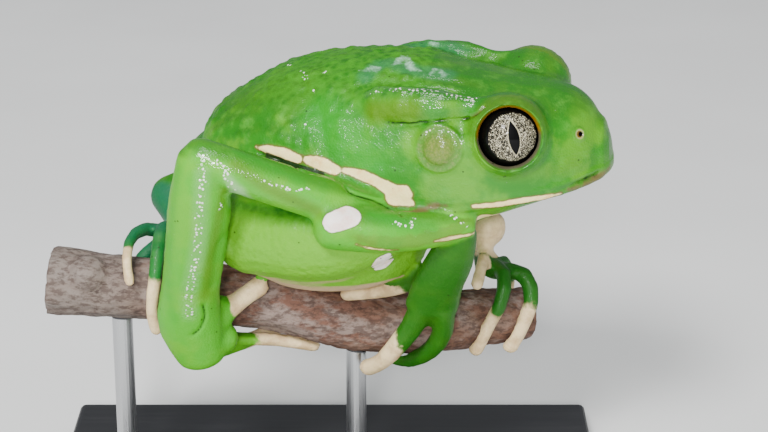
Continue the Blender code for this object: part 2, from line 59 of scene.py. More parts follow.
# The head's own axes, as in part.py
HEAD_ORIGIN = Vector((21.6, -7.4, 11.2))
HEAD_YAW = math.radians(-13.0)
HEAD_PITCH = math.radians(4.5)
HEAD_ROLL = math.radians(6.0)
EYE_RADIUS = 4.7
EYE_AHEAD = {-1: -1.1, 1: -0.4}
EYE_ASIDE = 9.2
EYE_ABOVE = 8.6
EYE_TURN_FORWARD = math.radians(14.0)
EYE_TURN_UP = math.radians(12.0)

# The body's middle plane: its place, its turn and its lean
MIDPLANE_Y = -1.2
MIDPLANE_SLOPE = -0.29
BODY_TILT = 0.09

# Face, in millimetres
IRIS_RADIUS = 3.45
IRIS_TURN = math.radians(9.0)
PUPIL_HALF_WIDTH = 0.79
PUPIL_CURVE = 0.123
DRUM_RADIUS = 3.45
MOUTH_BACK = -1.2
MOUTH_FRONT = 0.2
MOUTH_REACH = 12.0
MOUTH_DEPTH = 0.40
LIP_RISE = 0.12
NOSTRIL_DEPTH = 0.70
DRUM_RIM = 0.16
DRUM_SINK = 0.18

FLESH = ("head", "torso", "upper_arm_right", "forearm_right", "hand_right", "upper_arm_left",
         "forearm_left", "hand_left", "thigh_right", "shank_right", "foot_right", "thigh_left",
         "shank_left", "foot_left")
SKIN_VOXEL = 0.42
SKIN_SWELL = 0.20
SKIN_TRIANGLES = 190000
# Rounds of smoothing: all over, at the roots of the limbs, round the head's added forms
SKIN_ROUNDS = 50
CREASE_ROUNDS = 160
BLEND_ROUNDS = 420
WART_SPACING = 2.1
WART_HEIGHT = 0.30
PUCKER_HEIGHT = 0.34
HEAD_WET = 0.28
# A distance that stands for nowhere near
FAR = 9.0

BARK_VOXEL = 0.5
BARK_RELIEF = 0.30

# Studio: floor, panels of light (name, place in metres, watts, size) and the light all round
FLOOR_SIZE = 6.0
LIGHTS = (
    ("key", (-0.25, -0.66, 0.68), 10.5, 0.20),
    ("front", (-0.04, -0.90, 0.40), 6.5, 0.10),
    ("top", (0.0, -0.22, 0.93), 3.2, 0.30),
)
ROOM_COLOR = (0.82, 0.86, 0.92, 1)
ROOM_STRENGTH = 0.42


def head_axes():
    turn = (Quaternion((0, 0, 1), HEAD_YAW) @ Quaternion((0, 1, 0), -HEAD_PITCH)
            @ Quaternion((1, 0, 0), HEAD_ROLL))
    return turn.to_matrix()


HEAD_AXES = head_axes()


def head_at(ahead, left, above):
    return HEAD_ORIGIN + HEAD_AXES @ Vector((ahead, left, above))


def in_row(point):
    """Pose frame millimetres to row frame metres."""
    return POSE_ORIGIN + Vector(point) * MM


# Scene helpers

def deselect():
    if bpy.context.object and bpy.context.object.mode != "OBJECT":
        bpy.ops.object.mode_set(mode="OBJECT")
    bpy.ops.object.select_all(action="DESELECT")


def activate(*objects):
    deselect()
    for obj in objects:
        obj.select_set(True)
    bpy.context.view_layer.objects.active = objects[0]


def copy_of(node, name):
    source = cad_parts[node]
    mesh = source.data.copy()
    mesh.name = name
    mesh.materials.clear()
    obj = bpy.data.objects.new(name, mesh)
    bpy.context.scene.collection.objects.link(obj)
    return obj


def apply_modifier(obj, kind, **settings):
    activate(obj)
    step = obj.modifiers.new(kind.lower(), kind)
    for key, value in settings.items():
        setattr(step, key, value)
    bpy.ops.object.modifier_apply(modifier=step.name)


def points_of(mesh):
    flat = np.empty(len(mesh.vertices) * 3)
    mesh.vertices.foreach_get("co", flat)
    return flat.reshape(-1, 3)


def normals_of(mesh):
    flat = np.empty(len(mesh.vertices) * 3)
    mesh.vertex_normals.foreach_get("vector", flat)
    return flat.reshape(-1, 3)


def set_points(mesh, points):
    mesh.vertices.foreach_set("co", points.ravel())
    mesh.update()


def edges_of(mesh):
    flat = np.empty(len(mesh.edges) * 2, dtype=np.int64)
    mesh.edges.foreach_get("vertices", flat)
    return flat.reshape(-1, 2)


def relax(points, edges, rounds, weight, keep_volume=True):
    """Smooths points along their edges; weight (0..1 a point) says how much."""
    count = len(points)
    degree = np.bincount(edges.ravel(), minlength=count).astype(float)[:, None]
    for i in range(rounds):
        pull = 0.5
        if keep_volume and i % 2:
            pull = -0.52
        total = np.zeros_like(points)
        for axis in range(3):
            total[:, axis] = (np.bincount(edges[:, 0], points[edges[:, 1], axis], count)
                              + np.bincount(edges[:, 1], points[edges[:, 0], axis], count))
        points = points + (total / degree - points) * (pull * weight[:, None])
    return points


def relax_region(points, edges, rounds, weight):
    """As relax, without keeping volume, on the points that have a weight and their neighbours."""
    live = weight > 0.001
    near = edges[live[edges[:, 0]] | live[edges[:, 1]]]
    used, flat = np.unique(near.ravel(), return_inverse=True)
    part = relax(points[used], flat.reshape(-1, 2), rounds, np.where(live[used], weight[used], 0), False)
    points = points.copy()
    points[used] = part
    return points


def spread(values, edges, rounds):
    """Softens a number per point over the surface."""
    count = len(values)
    degree = np.bincount(edges.ravel(), minlength=count).astype(float)
    for _ in range(rounds):
        total = (np.bincount(edges[:, 0], values[edges[:, 1]], count)
                 + np.bincount(edges[:, 1], values[edges[:, 0]], count))
        values = values * 0.5 + 0.5 * total / degree
    return values


def smooth_path(points, per_span=8):
    """A Catmull-Rom run through the points, as an array."""
    pts = [Vector(p) for p in points]
    out = []
    for i in range(len(pts) - 1):
        b, c = pts[i], pts[i + 1]
        a = pts[i - 1] if i else b * 2 - c
        d = pts[i + 2] if i + 2 < len(pts) else c * 2 - b
        for k in range(per_span):
            f = k / per_span
            out.append((b * 2 + (c - a) * f + (a * 2 - b * 5 + c * 4 - d) * f * f
                        + (b * 3 - c * 3 + d - a) * f ** 3) * 0.5)
    out.append(pts[-1])
    return np.array([tuple(p) for p in out])


def distance_to_path(points, path, widths=None):
    """Distance of each point to a polyline, less the half width there where widths are given."""
    best = np.full(len(points), 1e9)
    for i in range(len(path) - 1):
        a, b = path[i], path[i + 1]
        ab = b - a
        t = np.clip(((points - a) @ ab) / max(ab @ ab, 1e-12), 0, 1)
        d = np.linalg.norm(points - (a + t[:, None] * ab), axis=1)
        if widths is not None:
            d = d - (widths[i] + (widths[i + 1] - widths[i]) * t)
        best = np.minimum(best, d)
    return best


def along(values, count):
    """Named widths spread evenly over a path of count points."""
    return np.interp(np.linspace(0, 1, count), np.linspace(0, 1, len(values)), values)


def bell(distance, radius):
    """1 at distance 0, falling smoothly to 0 at radius."""
    t = np.clip(1 - np.asarray(distance) / radius, 0, 1)
    return t * t * (3 - 2 * t)


# Camera, floor and light

def camera_place():
    away = Vector((0, -math.cos(CAMERA_ELEVATION), math.sin(CAMERA_ELEVATION)))
    return POSE_ORIGIN + away * CAMERA_DISTANCE


def pixel_ray(x, y):
    """Start and direction, in the row frame, of the photograph's ray through a pixel."""
    per_pixel = SENSOR_MM / PHOTO_WIDTH / LENS_MM
    right = Vector((1, 0, 0))
    ahead = (POSE_ORIGIN - camera_place()).normalized()
    above = right.cross(ahead)
    across, up = (x - PHOTO_WIDTH / 2) * per_pixel, (PHOTO_HEIGHT / 2 - y) * per_pixel
    go = ahead + right * across + above * up
    return camera_place(), go.normalized()


def make_camera():
    data = bpy.data.cameras.new("photo_camera")
    data.lens = LENS_MM
    data.sensor_width = SENSOR_MM
    data.sensor_fit = "HORIZONTAL"
    data.clip_start = 0.005
    data.clip_end = 20.0
    camera = bpy.data.objects.new("photo_camera", data)
    bpy.context.scene.collection.objects.link(camera)
    camera.location = camera_place()
    camera.rotation_euler = (math.pi / 2 - CAMERA_ELEVATION, 0, 0)
    bpy.context.scene.camera = camera


def add_light(name, place, energy, size):
    data = bpy.data.lights.new(name, "AREA")
    data.energy = energy
    data.size = size
    lamp = bpy.data.objects.new(name, data)
    bpy.context.scene.collection.objects.link(lamp)
    lamp.location = place
    lamp.rotation_euler = (POSE_ORIGIN - Vector(place)).to_track_quat("-Z", "Y").to_euler()


def make_floor():
    deselect()
    bpy.ops.mesh.primitive_plane_add(size=FLOOR_SIZE, location=(0, 0, 0))
    floor = bpy.context.object
    floor.name = "floor"
    floor.data.materials.append(floor_paint())


def make_light():
    world = bpy.data.worlds.new("studio")
    bpy.context.scene.world = world
    world.use_nodes = True
    background = world.node_tree.nodes["Background"]
    background.inputs["Color"].default_value = ROOM_COLOR
    background.inputs["Strength"].default_value = ROOM_STRENGTH
    for name, place, watts, size in LIGHTS:
        add_light(name, place, watts, size)


# Materials

def srgb(code):
    """'#RRGGBB' as a linear colour."""
    parts = [int(code[i:i + 2], 16) / 255 for i in (1, 3, 5)]
    return tuple(p / 12.92 if p <= 0.04045 else ((p + 0.055) / 1.055) ** 2.4 for p in parts) + (1.0,)


def add(tree, kind, inputs, out=0, **settings):
    """Adds a shader node, sets its properties, sets or links its inputs, and returns an output."""
    made = tree.nodes.new("ShaderNode" + kind)
    for key, value in settings.items():
        setattr(made, key, value)
    for key, value in inputs.items():
        if isinstance(value, bpy.types.NodeSocket):
            tree.links.new(value, made.inputs[key])
        else:
            made.inputs[key].default_value = value
    return made.outputs[out]


def layered(tree, base, layers):
    """Lays colours over one another; each layer is value, where it starts and is full, share, colour."""
    for value, start, full, share, color in layers:
        if isinstance(color, str):
            color = srgb(color)
        cover = add(tree, "MapRange", {0: value, 1: start, 2: full, 3: 0.0, 4: share},
                    interpolation_type="SMOOTHSTEP")
        base = add(tree, "Mix", {0: cover, 6: base, 7: color}, 2, data_type="RGBA")
    return base


def new_material(name):
    made = bpy.data.materials.new(name)
    made.use_nodes = True
    tree = made.node_tree
    return made, tree, tree.nodes["Principled BSDF"]


def floor_paint():
    """Matt painted studio floor: pale, even, without shine."""
    made, tree, shader = new_material("matt_floor_paint")
    here = add(tree, "TexCoord", {}, "Object")
    tone = add(tree, "TexNoise", {"Vector": here, "Scale": 1 / (60 * MM), "Detail": 2.0}, "Fac")
    paint = layered(tree, srgb("#ECECEA"), [(tone, 0.3, 0.7, 1.0, "#E7E7E5")])
    shader.inputs["Roughness"].default_value = 0.9
    tree.links.new(paint, shader.inputs["Base Color"])
    return made


def frog_skin():
    """Living frog skin under a thin waxy coat of its own: moist, softly glossy, finely granular, with painted
    highlights on ridge grains and sheen patches and painted shade in creases, nostrils, upward-facing skin
    and the far limbs.
    """
    made, tree, shader = new_material("waxy_frog_skin")
    here = add(tree, "TexCoord", {}, "Object")
    broad, mottle, ragged, fine = (
        add(tree, "TexNoise",
            {"Vector": here, "Scale": 1 / (size * MM), "Detail": 4.0, "Roughness": 0.6}, "Fac")
        for size in (8.0, 2.4, 1.1, 0.5))
    grains, beads, freckles = (
        add(tree, "TexVoronoi", {"Vector": here, "Scale": 1 / (size * MM)}, "Distance")
        for size in (0.34, 1.1, 2.6))
    # small drops with ragged outlines: painted highlights (glints) and raised grains along the glint rows
    drops = add(tree, "TexVoronoi", {"Vector": here, "Scale": 1 / (0.52 * MM)}, "Distance")
    drops = add(tree, "Math", {0: fine, 1: 0.5, 2: drops}, operation="MULTIPLY_ADD")
    mask = {name: add(tree, "Attribute", {}, "Fac", attribute_name=name) for name in SKIN_MASKS}
    speckle = add(tree, "MapRange", {0: beads, 1: 0.2, 2: 0.7, 3: 0.0, 4: 0.7})
    # painted highlights (glints) on raised grains: some of the drops in the ridge rows, more of them in the
    # middle of a row
    glinted = add(tree, "Math", {0: ragged, 1: 1.5, 2: mask["glint_rows"]}, operation="MULTIPLY_ADD")
    glinted = add(tree, "MapRange", {0: glinted, 1: 1.05, 2: 1.30})
    # painted highlights: pale patches of sheen behind the lobe, thin at their edges
    shine_patches = add(tree, "Math", {0: ragged, 1: 1.8, 2: mask["shine_patch"]}, operation="MULTIPLY_ADD")
    shine_patches = add(tree, "MapRange", {0: shine_patches, 1: 1.40, 2: 2.2, 3: 0.0, 4: 0.9})
    # edges of the markings wander a little
    for name, reach in (("line", 0.45), ("spot", 0.35), ("worn", 1.3), ("cream", 0.7), ("lid", 0.16),
                        ("drum", 0.5), ("speckled", 1.6)):
        mask[name] = add(tree, "Math", {0: ragged, 1: reach, 2: mask[name]}, operation="MULTIPLY_ADD")
        mask[name] = add(tree, "Math", {0: mask[name], 1: reach / 2}, operation="SUBTRACT")
    drum_skin = layered(tree, srgb("#4C8424"), [
        (mask["drum"], -0.3, -2.4, 0.8, "#75762E"), (grains, 0.2, 0.7, 0.5, "#3F6418"),
        (fine, 0.45, 0.7, 0.3, "#98905A")])
    digit_skin = layered(tree, srgb("#EBD2A2"), [(mottle, 0.35, 0.7, 0.8, "#B99A70")])
    stripe_skin = layered(tree, srgb("#FFE9A2"), [(mottle, 0.45, 0.7, 0.6, "#E8B468")])
    spot_skin = layered(tree, srgb("#FFF2EA"), [(mottle, 0.45, 0.7, 0.6, "#EEC4B4")])
    lid_edge = layered(tree, srgb("#54463C"), [(mask["lid_top"], 0.2, 0.8, 1.0, "#8A5C00")])
    base = layered(tree, srgb("#227A0C"), [
        (broad, 0.40, 0.65, 1.0, "#36840C"),
        (mask["pale"], 0.1, 0.9, 0.85, "#4EAE1C"),
        (broad, 0.45, 0.62, 0.35, "#74B01A"),
        (mask["yellow"], 0.0, 1.0, 0.8, "#589606"),
        (mask["warm"], 0.0, 1.0, 0.8, "#4C8604"),
        # painted shade: upward-facing skin darker
        (mask["crown"], 0.0, 1.0, 0.65, "#185A04"),
        (mottle, 0.50, 0.75, 0.40, "#58A82A"),
        (mask["granular"], 0.3, 0.9, speckle, "#3A8A10"),
        (mask["belly"], 0.15, 0.85, 0.70, "#74B822"),
        (mask["emerald"], 0.0, 1.0, 0.75, "#188E14"),
        (mask["olive"], 0.0, 1.0, 0.85, "#4E7800"),
        (mask["pucker"], 0.2, 0.9, 0.5, "#1E6E48"),
        # painted highlight: pale sheen patches behind the lobe
        (shine_patches, 0.0, 1.0, 0.8, "#A6D2B6"),
        # painted shade: the far foot and far hand darker and bluer
        (mask["far_limb_shade"], 0.0, 1.0, 0.85, "#0A5A3E"),
        (mask["deep"], 0.1, 0.9, 0.85, "#1C5A04"),
        (mask["web"], 0.8, -0.8, 0.6, "#A4C898"),
        (mask["drum"], 0.35, -0.35, 0.9, drum_skin),
        (mask["under"], 0.2, 0.8, 0.9, "#CDA98A"),
        (mask["cream"], 0.15, -0.2, 1.0, digit_skin),
        (mask["line"], 0.40, 0.08, 0.65, "#6B4A28"),
        (mask["line"], 0.10, -0.10, 1.0, stripe_skin),
        (mask["spot"], 0.26, 0.05, 0.5, "#4E5A24"),
        (mask["spot"], 0.06, -0.12, 1.0, spot_skin),
        (mask["worn"], 0.35, -0.35, 0.75, "#6A4636"),
        (mask["lid"], 1.6, 0.4, mask["lid_top"], "#6A7600"),
        (mask["lid"], 1.15, 0.45, 0.9, lid_edge),
        (mask["lid"], 0.26, 0.06, 1.0, "#080604"),
        (mask["nostril"], 0.85, 0.62, 0.7, "#A9A46C"),
        (mask["nostril"], 0.55, 0.44, 1.0, "#6A4A08"),
        # painted shade: black inside the nostril openings
        (mask["hole"], 0.42, 0.32, 1.0, "#040201"),
        (mask["mouth"], 0.22, 0.06, 0.9, "#101804"),
        # painted shade: dark along the folds and in the gap under the side line
        (mask["fold"], 0.26, 0.04, 0.95, "#0C2403"),
        (mask["speckled"], 0.2, -0.4, 0.30, "#5E4A28"),
        (freckles, 0.070, 0.045, 0.8, "#1C1A08"),
        # painted highlights: pale glints on the raised grains
        (drops, 0.66, 0.54, glinted, "#EEF6E2"),
    ])
    tree.links.new(base, shader.inputs["Base Color"])
    # moist film: smoother where water stands in the folds and along the ridges
    dry = add(tree, "MapRange", {0: mottle, 1: 0.35, 2: 0.7, 3: 0.46, 4: 0.60})
    film = add(tree, "MapRange", {0: mask["wet"], 1: 0.1, 2: 0.8, 3: 1.0, 4: 0.35})
    moist = add(tree, "Math", {0: dry, 1: film}, operation="MULTIPLY")
    coat = add(tree, "MapRange", {0: mask["wet"], 1: 0.1, 2: 0.8, 3: 0.06, 4: 1.0})
    tree.links.new(moist, shader.inputs["Roughness"])
    tree.links.new(coat, shader.inputs["Coat Weight"])
    shader.inputs["Coat Roughness"].default_value = 0.08
    shader.inputs["Coat IOR"].default_value = 1.7
    shader.inputs["Specular IOR Level"].default_value = 0.28
    shader.inputs["Subsurface Weight"].default_value = 0.10
    shader.inputs["Subsurface Radius"].default_value = (0.6, 1.0, 0.25)
    shader.inputs["Subsurface Scale"].default_value = MM
    shader.inputs["IOR"].default_value = 1.42
    # granules: beads on back and belly, fine grain everywhere, raised drops on the ridges under the painted
    # glints
    bead = add(tree, "MapRange", {0: beads, 1: 0.75, 2: 0.1}, interpolation_type="SMOOTHSTEP")
    grain = add(tree, "MapRange", {0: grains, 1: 0.8, 2: 0.1, 3: 0.0, 4: 0.30},
                interpolation_type="SMOOTHSTEP")
    grain = add(tree, "Math", {0: bead, 1: mask["granular"], 2: grain}, operation="MULTIPLY_ADD")
    bump = add(tree, "Bump", {"Strength": 0.6, "Distance": 0.13 * MM, "Height": grain}, "Normal")
    drop = add(tree, "MapRange", {0: drops, 1: 0.80, 2: 0.30}, interpolation_type="SMOOTHSTEP")
    drop = add(tree, "Math", {0: drop, 1: glinted}, operation="MULTIPLY")
    bump = add(tree, "Bump", {"Strength": 0.6, "Distance": 0.12 * MM, "Height": drop, "Normal": bump},
               "Normal")
    tree.links.new(bump, shader.inputs["Normal"])
    tree.links.new(bump, shader.inputs["Coat Normal"])
    return made


def eye_glaze(name, centre, look, up):
    """Wet eyeball: silver-cream iris with a black net, upright pupil, black outer ring."""
    made, tree, shader = new_material(name)
    side = up.cross(look).normalized()
    above = look.cross(side).normalized()
    turn = Matrix((side, above, look)).transposed()
    local = add(tree, "Mapping", {"Vector": add(tree, "TexCoord", {}, "Object"), "Location": tuple(centre),
                                  "Rotation": tuple(turn.to_euler()), "Scale": (MM, MM, MM)},
                vector_type="TEXTURE")
    x, y = (add(tree, "SeparateXYZ", {0: local}, axis) for axis in ("X", "Y"))
    flat = add(tree, "CombineXYZ", {0: x, 1: y})
    radius = add(tree, "VectorMath", {0: flat}, "Value", operation="LENGTH")
    warp = add(tree, "TexNoise", {"Vector": flat, "Scale": 2.2, "Detail": 4.0}, "Color")
    bent = add(tree, "VectorMath", {0: warp, 1: (0.45, 0.45, 0.0), 2: flat}, operation="MULTIPLY_ADD")
    tone = add(tree, "TexNoise", {"Vector": flat, "Scale": 1.4, "Detail": 3.0}, "Fac")
    net = add(tree, "TexVoronoi", {"Vector": bent, "Scale": 4.2}, "Distance", feature="DISTANCE_TO_EDGE")
    worm = add(tree, "TexNoise", {"Vector": bent, "Scale": 5.2, "Detail": 1.0, "Distortion": 0.5}, "Fac")
    worm = add(tree, "Math", {0: worm, 1: 0.5}, operation="SUBTRACT")
    worm = add(tree, "Math", {0: worm}, operation="ABSOLUTE")
    wobble = add(tree, "Math", {0: tone, 1: 0.5}, operation="SUBTRACT")
    rim = add(tree, "Math", {0: wobble, 1: 0.5, 2: radius}, operation="MULTIPLY_ADD")
    # pupil: two arcs that meet above and below
    bow = add(tree, "Math", {0: y, 1: y}, operation="MULTIPLY")
    pupil = add(tree, "Math", {0: bow, 1: PUPIL_CURVE, 2: add(tree, "Math", {0: x}, operation="ABSOLUTE")},
                operation="MULTIPLY_ADD")
    pupil = add(tree, "Math", {0: wobble, 1: 0.12, 2: pupil}, operation="MULTIPLY_ADD")
    iris = layered(tree, srgb("#EAE2C2"), [
        (tone, 0.4, 0.65, 0.7, "#BDB394"),
        (worm, 0.115, 0.075, 0.97, "#0A0806"),
        (net, 0.10, 0.05, 0.95, "#0A0806"),
        (pupil, PUPIL_HALF_WIDTH + 0.22, PUPIL_HALF_WIDTH + 0.12, 0.5, "#D6CDAA"),
        (pupil, PUPIL_HALF_WIDTH + 0.05, PUPIL_HALF_WIDTH - 0.03, 1.0, "#020202"),
        (rim, IRIS_RADIUS - 0.06, IRIS_RADIUS + 0.06, 1.0, "#030303"),
    ])
    tree.links.new(iris, shader.inputs["Base Color"])
    shader.inputs["Roughness"].default_value = 0.5
    shader.inputs["Specular IOR Level"].default_value = 0.05
    shader.inputs["Coat Weight"].default_value = 0.22
    shader.inputs["Coat Roughness"].default_value = 0.02
    return made


def branch_bark():
    """Weathered dead twig: grey skin flaking over purple-brown wood, dry and rough."""
    made, tree, shader = new_material("weathered_bark")
    here = add(tree, "TexCoord", {}, "Object")
    long = add(tree, "Mapping", {"Vector": here, "Scale": (0.5, 1.0, 1.0)})
    flakes, fine, broad = (
        add(tree, "TexNoise",
            {"Vector": long, "Scale": 1 / (size * MM), "Detail": 6.0, "Roughness": 0.68}, "Fac")
        for size in (3.4, 0.8, 12.0))
    way = add(tree, "SeparateXYZ", {0: here}, "X")
    base = layered(tree, srgb("#6E4B3C"), [
        (flakes, 0.44, 0.58, 0.9, "#8A7970"),
        (broad, 0.48, 0.62, 0.6, "#7A5945"),
        (way, -0.020, -0.034, 0.6, "#76746F"),
        (fine, 0.44, 0.60, 0.65, "#38241D"),
        (flakes, 0.40, 0.33, 0.8, "#2C1B16"),
    ])
    tree.links.new(base, shader.inputs["Base Color"])
    shader.inputs["Roughness"].default_value = 0.8
    rough = add(tree, "Math", {0: fine, 1: 0.5, 2: flakes}, operation="MULTIPLY_ADD")
    bump = add(tree, "Bump", {"Strength": 0.8, "Distance": 0.4 * MM, "Height": rough}, "Normal")
    tree.links.new(bump, shader.inputs["Normal"])
    return made


def stand_lacquer():
    """Matt black lacquered wood, a faint grain showing through the film."""
    made, tree, shader = new_material("black_lacquered_wood")
    here = add(tree, "TexCoord", {}, "Object")
    long = add(tree, "Mapping", {"Vector": here, "Scale": (0.06, 1.0, 1.0)})
    grain = add(tree, "TexNoise", {"Vector": long, "Scale": 1 / (1.1 * MM), "Detail": 4.0}, "Fac")
    black = layered(tree, srgb("#1B1B1D"), [(grain, 0.4, 0.65, 1.0, "#242426")])
    tree.links.new(black, shader.inputs["Base Color"])
    film = add(tree, "MapRange", {0: grain, 1: 0.3, 2: 0.7, 3: 0.38, 4: 0.5})
    tree.links.new(film, shader.inputs["Roughness"])
    bump = add(tree, "Bump", {"Strength": 0.25, "Distance": 0.05 * MM, "Height": grain}, "Normal")
    tree.links.new(bump, shader.inputs["Normal"])
    return made


def rod_steel():
    """Satin stainless rod, drawn lengthwise."""
    made, tree, shader = new_material("satin_stainless_steel")
    here = add(tree, "TexCoord", {}, "Object")
    long = add(tree, "Mapping", {"Vector": here, "Scale": (1.0, 1.0, 0.03)})
    drawn = add(tree, "TexNoise", {"Vector": long, "Scale": 1 / (0.2 * MM), "Detail": 3.0}, "Fac")
    shader.inputs["Base Color"].default_value = srgb("#BFC0C2")
    shader.inputs["Metallic"].default_value = 1.0
    satin = add(tree, "MapRange", {0: drawn, 1: 0.3, 2: 0.7, 3: 0.24, 4: 0.38})
    tree.links.new(satin, shader.inputs["Roughness"])
    return made


# Skin

def surface_tree(mesh):
    return BVHTree.FromPolygons([v.co for v in mesh.vertices], [tuple(p.vertices) for p in mesh.polygons])


def nearest_node(points):
    """Index in FLESH of the CAD node nearest to each point."""
    best = np.full(len(points), 1e9)
    owner = np.zeros(len(points), dtype=int)
    for index, name in enumerate(FLESH):
        tree = surface_tree(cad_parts[name].data)
        low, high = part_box(name)
        low, high = np.array(low) - 1.5 * MM, np.array(high) + 1.5 * MM
        near = np.nonzero(np.all((points > low) & (points < high), axis=1))[0]
        for i in near:
            hit = tree.find_nearest(points[i], 4 * MM)
            if hit[0] is not None and hit[3] < best[i]:
                best[i] = hit[3]
                owner[i] = index
    return owner


def make_skin_mesh():
    """The flesh nodes, swollen until their gaps close, as one surface."""
    copies = [copy_of(name, "skin_" + name) for name in FLESH]
    activate(*copies)
    bpy.ops.object.join()
    skin = bpy.context.object
    skin.name = "frog_skin"
    bpy.ops.object.mode_set(mode="EDIT")
    bpy.ops.mesh.select_all(action="SELECT")
    bpy.ops.mesh.remove_doubles(threshold=0.002 * MM)
    bpy.ops.object.mode_set(mode="OBJECT")
    apply_modifier(skin, "DISPLACE", strength=SKIN_SWELL * MM, mid_level=0.0)
    apply_modifier(skin, "REMESH", mode="VOXEL", voxel_size=SKIN_VOXEL * MM, adaptivity=0.0)
    keep_outer_shell(skin)
    return skin


def keep_outer_shell(obj):
    """Keeps the largest closed surface, so nothing is left inside."""
    bm = bmesh.new()
    bm.from_mesh(obj.data)
    bm.verts.index_update()
    seen = np.zeros(len(bm.verts), dtype=bool)
    groups = []
    for start in bm.verts:
        if seen[start.index]:
            continue
        stack, group = [start], []
        seen[start.index] = True
        while stack:
            vert = stack.pop()
            group.append(vert)
            for edge in vert.link_edges:
                other = edge.other_vert(vert)
                if not seen[other.index]:
                    seen[other.index] = True
                    stack.append(other)
        groups.append(group)
    groups.sort(key=len, reverse=True)
    bmesh.ops.delete(bm, geom=[v for group in groups[1:] for v in group], context="VERTS")
    bm.to_mesh(obj.data)
    bm.free()


def refine_head(skin):
    """Splits the head's faces once more, so that lids, lips and folds have room."""
    points = (points_of(skin.data) / MM) - np.array(POSE_ORIGIN) / MM
    centre = np.array(head_at(0.0, 0.0, 8.0))
    ahead = np.array(HEAD_AXES.col[0])
    reach = (points - centre) @ ahead
    inside = (reach > -16.0) & (np.linalg.norm(points - centre, axis=1) < 24.0) & (points[:, 2] > 3.0)
    activate(skin)
    bpy.ops.object.mode_set(mode="EDIT")
    bpy.ops.mesh.select_all(action="DESELECT")
    bpy.ops.object.mode_set(mode="OBJECT")
    chosen = np.zeros(len(skin.data.polygons), dtype=bool)
    for polygon in skin.data.polygons:
        chosen[polygon.index] = all(inside[v] for v in polygon.vertices)
    skin.data.polygons.foreach_set("select", chosen)
    bpy.ops.object.mode_set(mode="EDIT")
    bpy.ops.mesh.select_mode(type="FACE")
    bpy.ops.mesh.subdivide(number_cuts=1)
    bpy.ops.mesh.select_all(action="SELECT")
    bpy.ops.mesh.quads_convert_to_tris()
    bpy.ops.object.mode_set(mode="OBJECT")


def skin_ray(tree, x, y):
    """Where the photograph's ray through a pixel meets the skin, in pose millimetres."""
    start, go = pixel_ray(x, y)
    hit = tree.ray_cast(start, go)
    return None if hit[0] is None else (hit[0] - POSE_ORIGIN) / MM


def on_skin(tree, pixels):
    found = [skin_ray(tree, x, y) for x, y in pixels]
    return [p for p in found if p is not None]


def mirrored(points):
    """The same points on the other side of the frog's middle plane."""
    out = []
    for p in points:
        base = Vector((p[0], MIDPLANE_Y + MIDPLANE_SLOPE * p[0], 0))
        side = Vector((-MIDPLANE_SLOPE, 1, BODY_TILT)).normalized()
        offset = (Vector(p) - Vector((base.x, base.y, p[2]))).dot(side)
        out.append(Vector(p) - side * 2 * offset)
    return out


# Markings and folds of the near side, as pixels of the photograph that are then found on the
# skin; each run carries its half widths in millimetres
SIDE_LINE = (
    (((256, 147), (264, 149)), (0.10, 0.45)),
    (((267, 150), (282, 153), (298, 159)), (0.70, 0.80, 0.65)),
    (((308, 160), (322, 164), (335, 170)), (0.65, 0.95, 0.70)),
    (((343, 170), (362, 175), (378, 182), (392, 190)), (0.35, 0.75, 0.75, 1.0)),
    (((396, 195), (405, 193)), (1.55, 1.15)),
    (((403, 200), (412, 203)), (0.9, 0.35)),
)
LOWER_LIP = ((((474, 206), (500, 204), (525, 200), (545, 197), (561, 193)), (0.30, 0.42, 0.42, 0.36, 0.12)),)
THROAT_EDGE = ((((482, 217), (498, 214)), (0.9, 0.6)),)
WORN_TAIL = ((((402, 211), (418, 211), (432, 206), (446, 205)), (0.3, 0.5, 0.5, 0.3)),)
WORN_LIP = ((((562, 191), (580, 186), (597, 178), (609, 168), (614, 160)), (0.2, 0.35, 0.45, 0.5, 0.4)),)
SPOTS = (
    (((333, 222), (349, 216)), (1.55, 1.75)),
    (((375, 265), (381, 260), (387, 256)), (0.65, 1.00, 0.65)),
    (((376, 266), (383, 262), (389, 258)), (0.65, 1.05, 0.65)),
    (((378, 268), (384, 265), (390, 261)), (0.65, 1.00, 0.65)),
)
ARM_EDGE = (
    (((435, 241), (452, 238), (474, 233)), (0.10, 0.32, 0.20)),
    (((356, 244), (374, 249), (398, 250)), (0.05, 0.18, 0.05)),
)
WEB = ((((228, 178), (238, 191), (250, 198)), (0.3, 1.0, 0.3)),
       (((236, 190), (230, 204)), (0.8, 0.2)))
DIRTY_ARM = ((((360, 238), (400, 243), (440, 236), (470, 222)), (0.8, 1.2, 1.2, 1.0)),)
# folds sunk into the skin, each also darkened along its length as painted shade
FOLDS = (
    # run, depth, width
    (((484, 106), (477, 113), (465, 119), (440, 121), (405, 124), (388, 123)), 0.45, 0.45),
    (((336, 179), (351, 192), (377, 201), (392, 209), (402, 215)), 0.45, 0.50),
    (((203, 305), (205, 316), (201, 328), (192, 336)), 0.30, 0.45),
    (((260, 153), (278, 160), (298, 168), (318, 174)), 0.80, 0.70),
)
